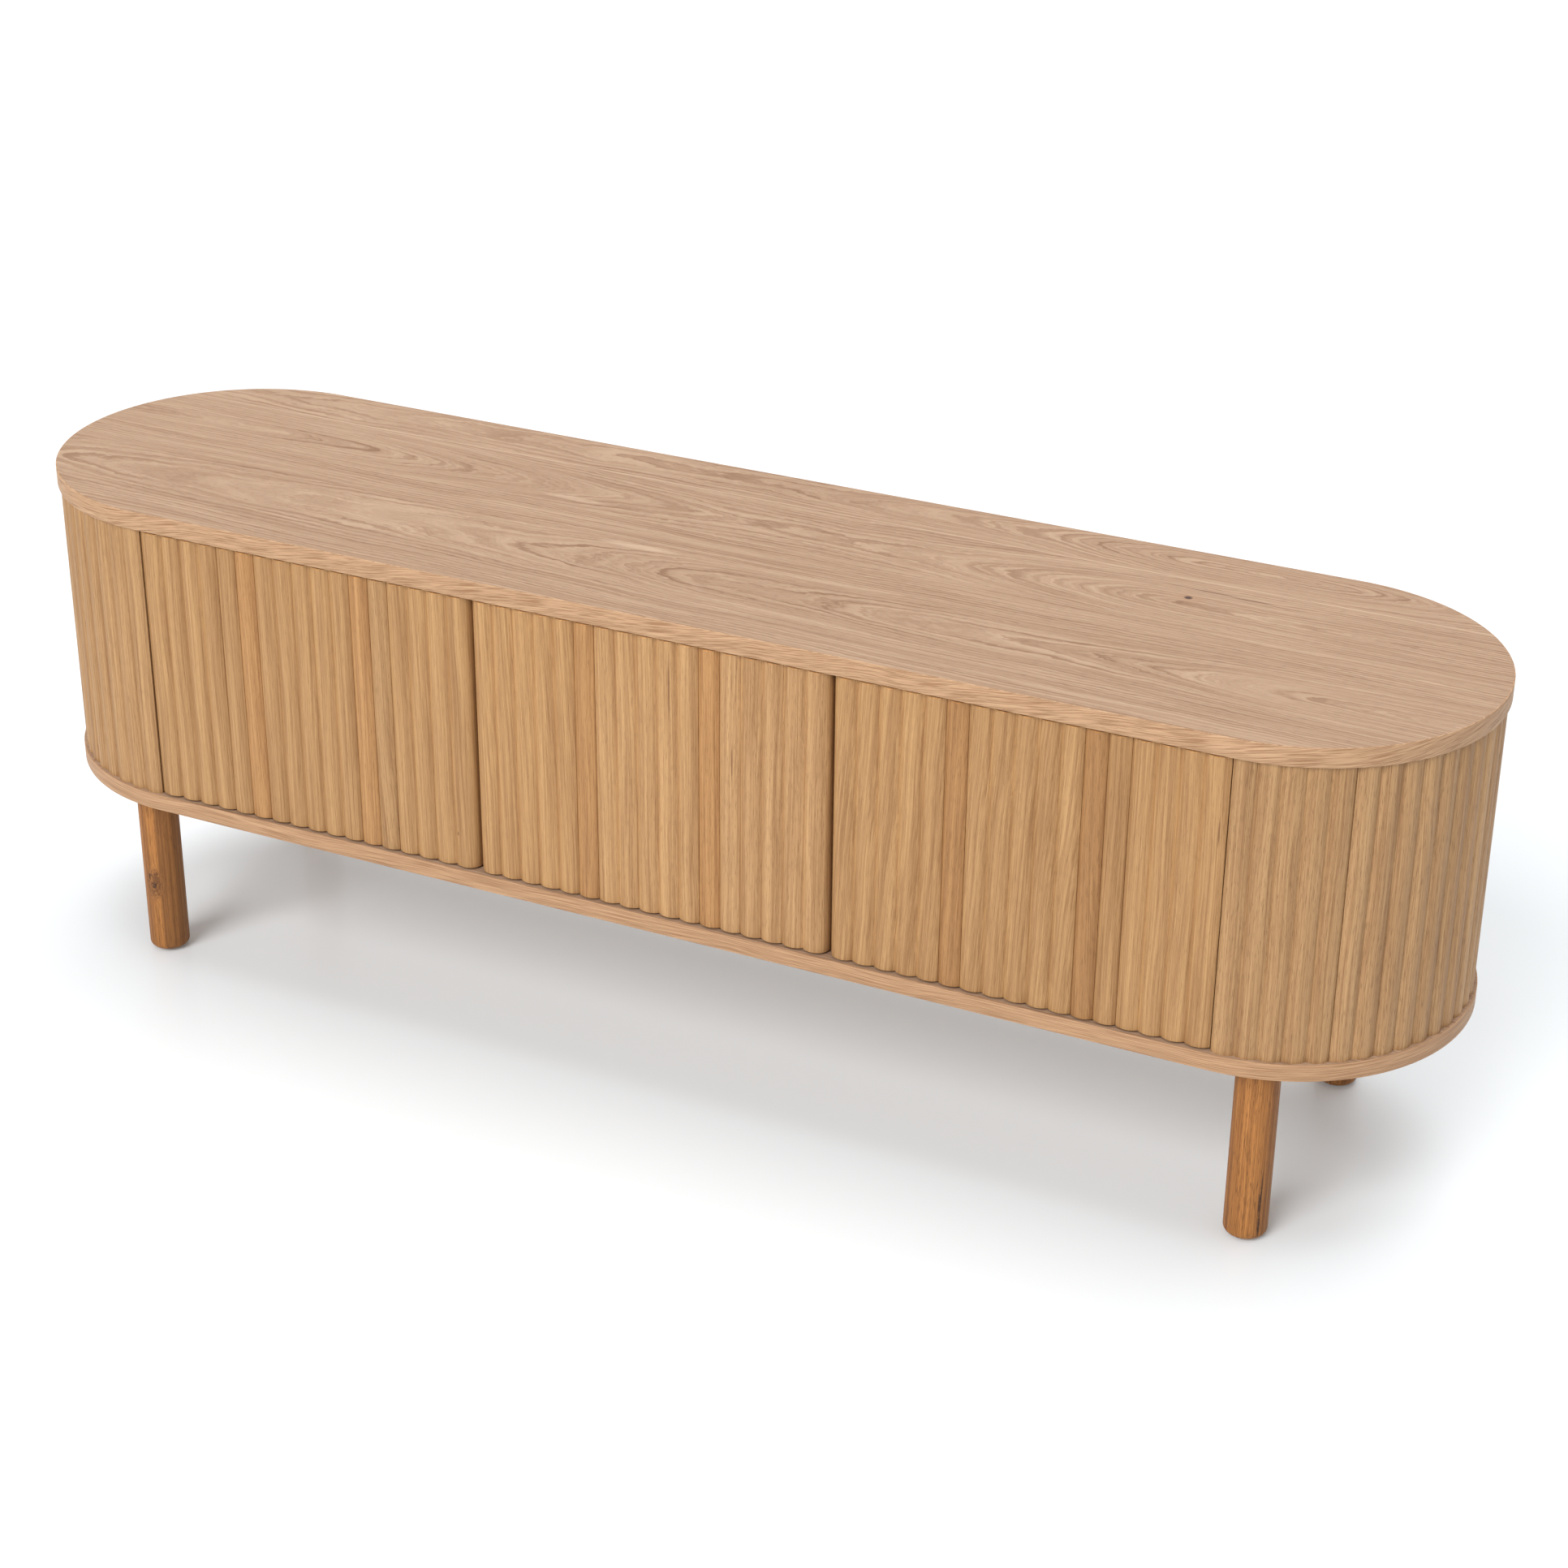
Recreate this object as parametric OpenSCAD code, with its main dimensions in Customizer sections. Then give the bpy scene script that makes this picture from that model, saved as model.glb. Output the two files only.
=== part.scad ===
// Low media cabinet on four round legs: a lozenge-shaped plan with rounded
// ends, two plates, reeded end walls and three reeded doors on pivot pins.
// Millimetres. X is the length, the front faces -Y, Z is up.
// The origin is on the floor under the middle of the cabinet.

/* [Overall] */
// Length from end to end
body_length = 1600; // [1200:10:2000]
// Depth from front to back, also the diameter of the rounded ends
body_depth = 400; // [320:5:480]
// Height from the floor to the top face
body_height = 550; // [450:5:700]

/* [Plates] */
// Thickness of the top plate
top_thick = 20; // [16:1:30]
// Thickness of the bottom plate
bottom_thick = 18; // [16:1:30]
// Thickness of the edge band round both plates
lipping_thick = 1; // [0.5:0.5:3]

/* [Legs] */
// Height of the legs, floor to underside of the bottom plate
leg_height = 200; // [120:5:260]
// Diameter of the legs
leg_d = 44; // [30:1:60]
// Round-over at the foot of each leg
leg_round = 7; // [2:0.5:10]
// Distance of the leg centres from the middle, along X
leg_x = 638; // [500:1:760]
// Distance of the leg centres from the middle, along Y
leg_y = 155; // [100:1:170]
// Thickness of the foot pads
pad_thick = 2; // [1:0.5:5]
// Diameter of the foot pads
pad_d = 26; // [16:1:30]

/* [Reeds] */
// Radius of one reed
reed_r = 14; // [10:0.5:20]
// Number of reeds on each door
door_reeds = 17; // [9:1:25]
// Number of reeds round each end
end_reeds = 27; // [15:1:39]
// How far the plate edges stand proud of the reed crests
crest_inset = 3; // [1:0.5:8]

/* [Doors] */
// Thickness of a door leaf over the reed crests
leaf_thick = 20; // [16:1:28]
// Gap between two neighbouring doors
door_gap = 3; // [2:0.5:6]
// Gap between the top of a door and the top plate
door_gap_top = 3; // [1.5:0.5:6]
// Gap between the foot of a door and the bottom plate
door_gap_bottom = 2; // [1.5:0.5:5]
// Pivot axis, measured in from the hinge edge of the leaf
pivot_in = 8; // [7:0.5:12]
// Pivot axis, measured back from the reed crests
pivot_back = 8.5; // [7:0.5:12]

/* [Carcass] */
// Thickness of the uprights
upright_thick = 18; // [15:1:25]
// Gap between the back of the doors and the uprights
upright_gap = 4; // [2:0.5:8]
// Thickness of the back panel
back_thick = 9; // [6:1:15]
// Distance of the back panel from the rear edge of the plates
back_inset = 10; // [5:1:20]
// Diameter of the cable holes in the back panel
cable_hole_d = 60; // [40:1:80]
// Height of the cable holes above the bottom plate
cable_hole_rise = 62; // [45:1:100]

/* [Shelves] */
// Thickness of the shelves
shelf_thick = 15; // [12:1:20]
// Height of the underside of the shelves above the floor
shelf_z = 362.5; // [330:0.5:420]
// Gap between each side of a shelf and the uprights
shelf_gap = 1; // [0.5:0.5:3]
// Setback of the shelves from the front of the uprights
shelf_setback = 8; // [0:1:40]
// Diameter of the shelf pins
shelf_pin_d = 5; // [4:0.5:7]
// Spacing of the rows of shelf pin holes
pin_row_step = 32; // [25:1:50]
// Distance of the pin holes from the middle, along Y
pin_y = 120; // [80:1:150]

/* [Hardware] */
// Diameter of the door pivot pins
pivot_d = 6; // [4:0.5:8]
// Radial play of a pivot pin in its bush
pivot_play = 0.05; // [0.02:0.01:0.1]
// Diameter of the wooden dowels
dowel_d = 8; // [6:1:10]
// Diameter of the bolts that hold the legs
leg_bolt_d = 8; // [6:1:12]
// Width of a magnetic catch
catch_w = 46; // [30:1:60]

/* [Hidden] */
$fn = 96;
eps = 1;
seat = 0.05;
oak_pale = [0.80, 0.68, 0.55];
oak_warm = [0.78, 0.62, 0.43];
oak_leg = [0.69, 0.49, 0.31];
steel = [0.72, 0.73, 0.74];
dark_steel = [0.25, 0.25, 0.26];
nylon = [0.46, 0.36, 0.27];
felt = [0.35, 0.33, 0.31];

plate_r = body_depth / 2;
straight = body_length - body_depth;
half_straight = straight / 2;
bay_pitch = straight / 3;
top_z = body_height - top_thick;
floor_z = leg_height + bottom_thick;
inside_h = top_z - floor_z;

crest_r = plate_r - crest_inset;
reed_centre_r = crest_r - reed_r;
leaf_back = crest_r - leaf_thick;
end_step = 180 / end_reeds;
leaf_w = bay_pitch - door_gap;
leaf_z = floor_z + door_gap_bottom;
leaf_h = inside_h - door_gap_bottom - door_gap_top;
reed_step = (leaf_w - 2 * reed_r) / (door_reeds - 1);

upright_front = leaf_back - upright_gap;
back_face = plate_r - back_inset - back_thick;
side_x = half_straight - upright_thick / 2;
divider_x = bay_pitch / 2;
upright_depth = upright_front + back_face;
outer_bay_w = side_x - divider_x - upright_thick;
outer_bay_x = (side_x + divider_x) / 2;
middle_bay_w = 2 * divider_x - upright_thick;

pivot_y = crest_r - pivot_back;
pivot_x = leaf_w / 2 - pivot_in;
pivot_in_leaf = 28;
pivot_in_plate = 10;
bush_r = 4.5;
bush_len = 11;
flange_r = 5;
flange_thick = 1;
washer_r = 4.5;
washer_thick = 1;

pin_z = shelf_z - shelf_pin_d / 2;
pin_rows = [-2, -1, 0, 1, 2];
pin_hole_depth = 8;
pin_len = 15;
shelf_front = upright_front - shelf_setback;
shelf_back_gap = 3;
shelf_depth = shelf_front + back_face - shelf_back_gap;

dowel_y = 110;
dowel_in_plate = 12;
dowel_in_wall = 18;
dowel_beyond_reeds = 1;
dowel_r_end = reed_centre_r + dowel_beyond_reeds;
dowel_angles = [-55, 0, 55];
// the lower plate is thinner, so the dowels go less far into it
dowel_in_floor = 11;

bolt_in_leg = 42;
bolt_in_plate = 13;
insert_r = 6;
insert_len = 14;

screw_r = 1.75;
screw_head_r = 3.5;
screw_head = 2;
screw_len = 24;
screw_rows = [20, 156, 292];

catch_depth = 15;
catch_h = 16;
catch_x = 128;
catch_set = 1;
magnet_w = 32;
magnet_h = 7;
magnet_depth = 12;
catch_screw_x = 19.5;
catch_screw_r = 1.5;
catch_screw_head_r = 2.8;
catch_screw_head = 1.6;
catch_screw_len = 14;
strike_w = 38;
strike_h = 10;
strike_thick = 1.5;
strike_screw_len = 11;
strike_z = top_z - catch_h / 2;
// the strike stops just short of the magnet
strike_gap = 0.2;
magnet_front = leaf_back - strike_thick - strike_gap;

bumper_r = 3.5;
bumper_thick = 3.8;
bumper_rise = [22, 290];

// Plan shape of both plates: a rectangle with a half disc at each end
module lozenge(r, h) {
  linear_extrude(height = h)
  union() {
    square([straight, 2 * r], center = true);
    translate([half_straight, 0]) circle(r);
    translate([-half_straight, 0]) circle(r);
  }
}

// Places its children at the three pivot axes; side +1 is a right-hand hinge
module at_pivots() {
  translate([-bay_pitch - pivot_x, -pivot_y, 0]) children();
  translate([-pivot_x, -pivot_y, 0]) children();
  translate([bay_pitch + pivot_x, -pivot_y, 0]) children();
}

module at_uprights() {
  for (x = [-side_x, -divider_x, divider_x, side_x]) {
    translate([x, 0, 0]) children();
  }
}

module at_dowels() {
  at_uprights() {
    translate([0, -dowel_y, 0]) children();
    translate([0, dowel_y, 0]) children();
  }
  for (a = dowel_angles) {
    translate([half_straight, 0, 0]) rotate([0, 0, a])
      translate([dowel_r_end, 0, 0]) children();
    translate([-half_straight, 0, 0]) rotate([0, 0, 180 + a])
      translate([dowel_r_end, 0, 0]) children();
  }
}

module at_legs() {
  for (x = [-leg_x, leg_x]) {
    for (y = [-leg_y, leg_y]) translate([x, y, 0]) children();
  }
}

module dowel_holes(z, h) {
  at_dowels() translate([0, 0, z]) cylinder(r = dowel_d / 2 + seat, h = h);
}

// ---- plates ----

module top_panel() {
  color(oak_pale)
  difference() {
    translate([0, 0, top_z]) lozenge(plate_r - lipping_thick, top_thick);
    dowel_holes(top_z - eps, dowel_in_plate + eps + seat);
    at_pivots() translate([0, 0, top_z - eps])
      cylinder(r = bush_r + seat, h = bush_len + eps + seat);
    at_catches() for (x = [-catch_screw_x, catch_screw_x])
      translate([x, 0, top_z - eps])
        cylinder(r = catch_screw_r + seat, h = catch_screw_len);
  }
}

module top_lipping() {
  color(oak_warm)
  translate([0, 0, top_z])
  difference() {
    lozenge(plate_r, top_thick);
    translate([0, 0, -eps]) lozenge(plate_r - lipping_thick, top_thick + 2 * eps);
  }
}

module bottom_panel() {
  color(oak_pale)
  difference() {
    translate([0, 0, leg_height]) lozenge(plate_r - lipping_thick, bottom_thick);
    dowel_holes(floor_z - dowel_in_floor - seat, dowel_in_floor + eps + seat);
    at_pivots() translate([0, 0, floor_z - bush_len - seat])
      cylinder(r = bush_r + seat, h = bush_len + eps + seat);
    at_legs() translate([0, 0, leg_height - eps])
      cylinder(r = insert_r + seat, h = insert_len + eps + seat);
  }
}

module bottom_lipping() {
  color(oak_warm)
  translate([0, 0, leg_height])
  difference() {
    lozenge(plate_r, bottom_thick);
    translate([0, 0, -eps]) lozenge(plate_r - lipping_thick, bottom_thick + 2 * eps);
  }
}

// ---- reeded end walls ----

// Half a tube bent from reeded staves, open towards +X, centred on the origin
module end_wall_plan() {
  intersection() {
    translate([-plate_r, -plate_r]) square([plate_r, 2 * plate_r]);
    difference() {
      union() {
        for (i = [0 : end_reeds - 1]) {
          rotate(90 + (i + 0.5) * end_step) translate([reed_centre_r, 0]) circle(reed_r);
        }
      }
      circle(leaf_back);
    }
  }
}

module end_wall() {
  translate([0, 0, floor_z]) linear_extrude(height = inside_h) end_wall_plan();
}

module left_end_panel() {
  color(oak_warm)
  difference() {
    translate([-half_straight, 0, 0]) end_wall();
    dowel_holes(top_z - dowel_in_wall, dowel_in_wall + eps);
    dowel_holes(floor_z - eps, dowel_in_wall + eps);
  }
}

module right_end_panel() {
  color(oak_warm)
  difference() {
    translate([half_straight, 0, 0]) rotate([0, 0, 180]) end_wall();
    dowel_holes(top_z - dowel_in_wall, dowel_in_wall + eps);
    dowel_holes(floor_z - eps, dowel_in_wall + eps);
  }
}

// ---- carcass ----

// Two columns of shelf pin holes, sunk from the face at x in the direction dir
module pin_holes(x, dir) {
  for (y = [-pin_y, pin_y]) {
    for (k = pin_rows) {
      translate([x - dir * eps, y, pin_z + k * pin_row_step]) rotate([0, dir * 90, 0])
        cylinder(r = shelf_pin_d / 2 + seat, h = pin_hole_depth + eps);
    }
  }
}

module back_screw_holes() {
  at_uprights() for (z = screw_rows)
    translate([0, plate_r - back_inset + eps, floor_z + z]) rotate([90, 0, 0])
      cylinder(r = screw_r + seat, h = screw_len + eps);
}

module upright(x) {
  translate([x - upright_thick / 2, -upright_front, floor_z])
    cube([upright_thick, upright_depth, inside_h]);
}

module upright_cuts() {
  dowel_holes(top_z - dowel_in_wall, dowel_in_wall + eps);
  dowel_holes(floor_z - eps, dowel_in_wall + eps);
  back_screw_holes();
}

module left_side_panel() {
  color(oak_pale)
  difference() {
    upright(-side_x);
    upright_cuts();
    pin_holes(-side_x + upright_thick / 2, -1);
  }
}

module right_side_panel() {
  color(oak_pale)
  difference() {
    upright(side_x);
    upright_cuts();
    pin_holes(side_x - upright_thick / 2, 1);
  }
}

module left_divider() {
  color(oak_pale)
  difference() {
    upright(-divider_x);
    upright_cuts();
    pin_holes(-divider_x - upright_thick / 2, 1);
    pin_holes(-divider_x + upright_thick / 2, -1);
  }
}

module right_divider() {
  color(oak_pale)
  difference() {
    upright(divider_x);
    upright_cuts();
    pin_holes(divider_x - upright_thick / 2, 1);
    pin_holes(divider_x + upright_thick / 2, -1);
  }
}

module back_panel() {
  color(oak_pale)
  difference() {
    translate([-half_straight, back_face, floor_z]) cube([straight, back_thick, inside_h]);
    for (x = [-bay_pitch, 0, bay_pitch]) {
      translate([x, back_face - eps, floor_z + cable_hole_rise]) rotate([-90, 0, 0])
        cylinder(d = cable_hole_d, h = back_thick + 2 * eps);
    }
    back_screw_holes();
    at_uprights() for (z = screw_rows)
      translate([0, plate_r - back_inset + eps, floor_z + z]) rotate([90, 0, 0])
        cylinder(r = screw_head_r + seat, h = screw_head + eps + seat);
  }
}

module back_screws() {
  color(dark_steel)
  at_uprights() for (z = screw_rows)
    translate([0, plate_r - back_inset, floor_z + z]) rotate([90, 0, 0]) {
      cylinder(r = screw_head_r, h = screw_head);
      cylinder(r = screw_r, h = screw_len - 2 * eps);
    }
}

// ---- shelves ----

module shelf(x, w) {
  translate([x - w / 2 + shelf_gap, -shelf_front, shelf_z])
    cube([w - 2 * shelf_gap, shelf_depth, shelf_thick]);
}

module pin_set(x, w) {
  for (s = [-1, 1]) {
    for (y = [-pin_y, pin_y]) {
      translate([x + s * (w / 2 + pin_hole_depth - seat), y, pin_z])
        rotate([0, -s * 90, 0]) cylinder(d = shelf_pin_d, h = pin_len);
    }
  }
}

module left_shelf() {
  color(oak_pale) shelf(-outer_bay_x, outer_bay_w);
}

module middle_shelf() {
  color(oak_pale) shelf(0, middle_bay_w);
}

module right_shelf() {
  color(oak_pale) shelf(outer_bay_x, outer_bay_w);
}

module left_shelf_pins() {
  color(steel) pin_set(-outer_bay_x, outer_bay_w);
}

module middle_shelf_pins() {
  color(steel) pin_set(0, middle_bay_w);
}

module right_shelf_pins() {
  color(steel) pin_set(outer_bay_x, outer_bay_w);
}

// ---- legs ----

module leg(x, y) {
  color(oak_leg)
  translate([x, y, pad_thick])
  difference() {
    rotate_extrude()
    union() {
      translate([0, leg_round]) square([leg_d / 2, leg_height - pad_thick - leg_round]);
      square([leg_d / 2 - leg_round, leg_round + eps]);
      intersection() {
        translate([leg_d / 2 - leg_round, leg_round]) circle(leg_round);
        square([leg_d, leg_round + eps]);
      }
    }
    translate([0, 0, leg_height - pad_thick - bolt_in_leg])
      cylinder(r = leg_bolt_d / 2 + seat, h = bolt_in_leg + eps);
  }
}

module front_left_leg() {
  leg(-leg_x, -leg_y);
}

module front_right_leg() {
  leg(leg_x, -leg_y);
}

module rear_left_leg() {
  leg(-leg_x, leg_y);
}

module rear_right_leg() {
  leg(leg_x, leg_y);
}

module leg_bolts() {
  color(steel)
  at_legs() translate([0, 0, leg_height - bolt_in_leg + seat])
    cylinder(d = leg_bolt_d, h = bolt_in_leg + bolt_in_plate - seat);
}

module leg_inserts() {
  color(steel)
  at_legs() translate([0, 0, leg_height])
  difference() {
    cylinder(r = insert_r, h = insert_len);
    translate([0, 0, -eps])
      cylinder(r = leg_bolt_d / 2 + seat, h = insert_len + 2 * eps);
  }
}

module foot_pads() {
  color(felt) at_legs() cylinder(d = pad_d, h = pad_thick);
}

// ---- wooden dowels ----

module upper_dowels() {
  color(oak_warm)
  at_dowels() translate([0, 0, top_z - dowel_in_wall + seat])
    cylinder(d = dowel_d, h = dowel_in_wall + dowel_in_plate - seat);
}

module lower_dowels() {
  color(oak_warm)
  at_dowels() translate([0, 0, floor_z - dowel_in_floor])
    cylinder(d = dowel_d, h = dowel_in_floor + dowel_in_wall - seat);
}

// ---- door fittings fixed to the carcass ----

module bush_tube() {
  difference() {
    union() {
      cylinder(r = bush_r, h = bush_len + flange_thick);
      cylinder(r = flange_r, h = flange_thick);
    }
    translate([0, 0, -eps])
      cylinder(r = pivot_d / 2 + pivot_play, h = bush_len + flange_thick + 2 * eps);
  }
}

module upper_bushes() {
  color(nylon)
  at_pivots() translate([0, 0, top_z - flange_thick]) bush_tube();
}

module lower_bushes() {
  color(nylon)
  at_pivots() translate([0, 0, floor_z + flange_thick]) mirror([0, 0, 1]) bush_tube();
}

// Places its children in the middle of each magnetic catch
module at_catches() {
  for (x = [-bay_pitch + catch_x, catch_x, bay_pitch - catch_x]) {
    translate([x, -upright_front + catch_set + catch_depth / 2, 0]) children();
  }
}

module catch_housings() {
  color(nylon)
  at_catches()
  difference() {
    translate([-catch_w / 2, -catch_depth / 2, top_z - catch_h])
      cube([catch_w, catch_depth, catch_h]);
    translate([-magnet_w / 2 - seat, -catch_depth / 2 - eps, strike_z - magnet_h / 2 - seat])
      cube([magnet_w + 2 * seat, magnet_depth + eps, magnet_h + 2 * seat]);
    for (x = [-catch_screw_x, catch_screw_x]) {
      translate([x, 0, top_z - catch_h - eps]) {
        cylinder(r = catch_screw_r + seat, h = catch_h + 2 * eps);
        cylinder(r = catch_screw_head_r + seat, h = catch_screw_head + eps + seat);
      }
    }
  }
}

module catch_magnets() {
  color(dark_steel)
  at_catches()
  translate([-magnet_w / 2, upright_front - catch_set - catch_depth / 2 - magnet_front,
             strike_z - magnet_h / 2])
    cube([magnet_w, magnet_front - upright_front + catch_set + magnet_depth - seat, magnet_h]);
}

module catch_screws() {
  color(steel)
  at_catches() for (x = [-catch_screw_x, catch_screw_x])
    translate([x, 0, top_z - catch_h]) {
      cylinder(r = catch_screw_head_r, h = catch_screw_head);
      cylinder(r = catch_screw_r, h = catch_h + catch_screw_len - 2 * eps);
    }
}

// One bumper pair behind the free edge of each door
module door_bumpers() {
  color(felt)
  for (x = [-divider_x - door_gap / 2 - bumper_r,
            divider_x - door_gap / 2 - bumper_r,
            divider_x + door_gap / 2 + bumper_r]) {
    for (z = bumper_rise) {
      translate([x, -upright_front, floor_z + z]) rotate([90, 0, 0])
        cylinder(r = bumper_r, h = bumper_thick);
    }
  }
}

// ---- doors ----

// Reeded board, round at both upright edges, with its middle at x = 0
module leaf_plan() {
  intersection() {
    translate([-leaf_w / 2, -crest_r]) square([leaf_w, leaf_thick]);
    union() {
      for (i = [0 : door_reeds - 1]) {
        translate([-leaf_w / 2 + reed_r + i * reed_step, -reed_centre_r]) circle(reed_r);
      }
      translate([-leaf_w / 2, -reed_centre_r]) square([leaf_w, leaf_thick]);
    }
  }
}

// side is -1 for a hinge on the left edge and +1 for one on the right
module leaf(x, side, catch_at) {
  color(oak_warm)
  difference() {
    translate([x, 0, leaf_z]) linear_extrude(height = leaf_h) leaf_plan();
    translate([x + side * pivot_x, -pivot_y, leaf_z + leaf_h - pivot_in_leaf])
      cylinder(r = pivot_d / 2 + seat, h = pivot_in_leaf + eps);
    translate([x + side * pivot_x, -pivot_y, leaf_z - eps])
      cylinder(r = pivot_d / 2 + seat, h = pivot_in_leaf + eps);
    translate([catch_at, -leaf_back + eps, strike_z]) rotate([90, 0, 0])
      cylinder(r = screw_r + seat, h = strike_screw_len + eps);
  }
}

module upper_pin(x, side) {
  color(steel)
  translate([x + side * pivot_x, -pivot_y, leaf_z + leaf_h - pivot_in_leaf + seat])
    cylinder(d = pivot_d, h = pivot_in_leaf + door_gap_top + pivot_in_plate);
}

module lower_pin(x, side) {
  color(steel)
  translate([x + side * pivot_x, -pivot_y, floor_z - pivot_in_plate])
    cylinder(d = pivot_d, h = pivot_in_plate + door_gap_bottom + pivot_in_leaf - seat - eps);
}

module thrust_washer(x, side) {
  color(nylon)
  translate([x + side * pivot_x, -pivot_y, leaf_z - washer_thick])
  difference() {
    cylinder(r = washer_r, h = washer_thick);
    translate([0, 0, -eps])
      cylinder(r = pivot_d / 2 + seat, h = washer_thick + 2 * eps);
  }
}

module strike(catch_at) {
  color(steel)
  difference() {
    translate([catch_at - strike_w / 2, -leaf_back, strike_z - strike_h / 2])
      cube([strike_w, strike_thick, strike_h]);
    translate([catch_at, -leaf_back - eps, strike_z]) rotate([-90, 0, 0])
      cylinder(r = screw_r + seat, h = strike_thick + 2 * eps);
  }
}

module strike_screw(catch_at) {
  color(dark_steel)
  translate([catch_at, -leaf_back + strike_thick, strike_z]) rotate([90, 0, 0])
    cylinder(r = screw_r, h = strike_thick + strike_screw_len - eps);
}

module left_door_leaf() {
  leaf(-bay_pitch, -1, -bay_pitch + catch_x);
}

module left_upper_pivot() {
  upper_pin(-bay_pitch, -1);
}

module left_lower_pivot() {
  lower_pin(-bay_pitch, -1);
}

module left_washer() {
  thrust_washer(-bay_pitch, -1);
}

module left_strike() {
  strike(-bay_pitch + catch_x);
}

module left_strike_screw() {
  strike_screw(-bay_pitch + catch_x);
}

module middle_door_leaf() {
  leaf(0, -1, catch_x);
}

module middle_upper_pivot() {
  upper_pin(0, -1);
}

module middle_lower_pivot() {
  lower_pin(0, -1);
}

module middle_washer() {
  thrust_washer(0, -1);
}

module middle_strike() {
  strike(catch_x);
}

module middle_strike_screw() {
  strike_screw(catch_x);
}

module right_door_leaf() {
  leaf(bay_pitch, 1, bay_pitch - catch_x);
}

module right_upper_pivot() {
  upper_pin(bay_pitch, 1);
}

module right_lower_pivot() {
  lower_pin(bay_pitch, 1);
}

module right_washer() {
  thrust_washer(bay_pitch, 1);
}

module right_strike() {
  strike(bay_pitch - catch_x);
}

module right_strike_screw() {
  strike_screw(bay_pitch - catch_x);
}

top_panel();
top_lipping();
bottom_panel();
bottom_lipping();
left_end_panel();
right_end_panel();
left_side_panel();
right_side_panel();
left_divider();
right_divider();
back_panel();
back_screws();
left_shelf();
middle_shelf();
right_shelf();
left_shelf_pins();
middle_shelf_pins();
right_shelf_pins();
front_left_leg();
front_right_leg();
rear_left_leg();
rear_right_leg();
leg_bolts();
leg_inserts();
foot_pads();
upper_dowels();
lower_dowels();
upper_bushes();
lower_bushes();
catch_housings();
catch_magnets();
catch_screws();
door_bumpers();
left_door_leaf();
left_upper_pivot();
left_lower_pivot();
left_washer();
left_strike();
left_strike_screw();
middle_door_leaf();
middle_upper_pivot();
middle_lower_pivot();
middle_washer();
middle_strike();
middle_strike_screw();
right_door_leaf();
right_upper_pivot();
right_lower_pivot();
right_washer();
right_strike();
right_strike_screw();
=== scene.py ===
"""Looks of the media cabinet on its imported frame: oak veneer, reeded staves, edge bands,
legs and fittings, on a pale floor in soft studio light. Metres, +Z up, the doors face -Y."""

import math

import bmesh
import bpy
from mathutils import Matrix, Vector


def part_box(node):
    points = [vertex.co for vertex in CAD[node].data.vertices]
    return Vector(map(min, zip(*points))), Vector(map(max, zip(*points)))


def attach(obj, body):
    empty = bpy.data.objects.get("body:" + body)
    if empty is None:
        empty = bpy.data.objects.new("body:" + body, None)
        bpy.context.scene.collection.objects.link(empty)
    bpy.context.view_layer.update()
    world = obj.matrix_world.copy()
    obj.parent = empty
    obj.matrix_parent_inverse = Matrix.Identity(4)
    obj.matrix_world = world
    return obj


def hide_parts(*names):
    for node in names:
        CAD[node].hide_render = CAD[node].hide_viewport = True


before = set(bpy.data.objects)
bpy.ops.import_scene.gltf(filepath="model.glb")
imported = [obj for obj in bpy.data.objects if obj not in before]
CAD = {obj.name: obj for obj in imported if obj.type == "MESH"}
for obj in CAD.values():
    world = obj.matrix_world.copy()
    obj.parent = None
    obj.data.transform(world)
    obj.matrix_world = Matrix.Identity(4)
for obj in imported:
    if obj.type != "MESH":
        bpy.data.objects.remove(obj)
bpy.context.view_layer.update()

MM = 0.001
SIDES = ("left", "middle", "right")

# ---- sizes read from the frame ----

TOP_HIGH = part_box("top_lipping")[1]
BASE_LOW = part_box("bottom_lipping")[0]
CORE_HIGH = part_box("top_panel")[1]
LEAF_LOW, LEAF_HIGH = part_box("middle_door_leaf")
PLATE_R = TOP_HIGH.y
HALF_STRAIGHT = TOP_HIGH.x - PLATE_R
BAND_THICK = TOP_HIGH.x - CORE_HIGH.x
MID_HEIGHT = (TOP_HIGH.z + BASE_LOW.z) / 2
CREST_R = -LEAF_LOW.y
END_INNER_R = -LEAF_HIGH.y

# ---- sizes of reeds, glue joints and softened edges ----

DOOR_REEDS = 17
DOOR_STEP = 23.06 * MM
DOOR_REED_DEEP = 4.4 * MM
DOOR_FREE_DEEP = 12 * MM  # at an edge that meets another door
DOOR_END_DEEP = 5 * MM  # at an edge that meets an end wall
DOOR_SOFT = 0.6 * MM
BEVEL_DEEP = 2.2 * MM  # planed off the top front of a door
BEVEL_HIGH = 1.1 * MM
# painted highlight: how much brighter the bevel faces are drawn, set against the shade under the
# top plate's overhang, on top of slightly pale end grain
BEVEL_PAINTED_HIGHLIGHT = 1.8
END_REEDS = 27
END_STEP = math.pi / END_REEDS  # an angle
END_REED_DEEP = 3.7 * MM
END_INNER_STEPS = 60
END_GRAIN_AT = 2.0  # moves the end walls' grain away from the doors' flecks
JOINT_WIDE = 0.5 * MM  # groove between two staves
JOINT_DEEP = 1.6 * MM
BAND_SOFT = 0.5 * MM
FOOT_ROUND = 7 * MM
FOOT_STEPS = 8
LEG_TOP_HIGH = 1 * MM
LEG_TOP_IN = 0.3 * MM
ROUND_STEPS = 72  # round each end of a plate, and round a leg


# ---- camera ----

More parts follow.
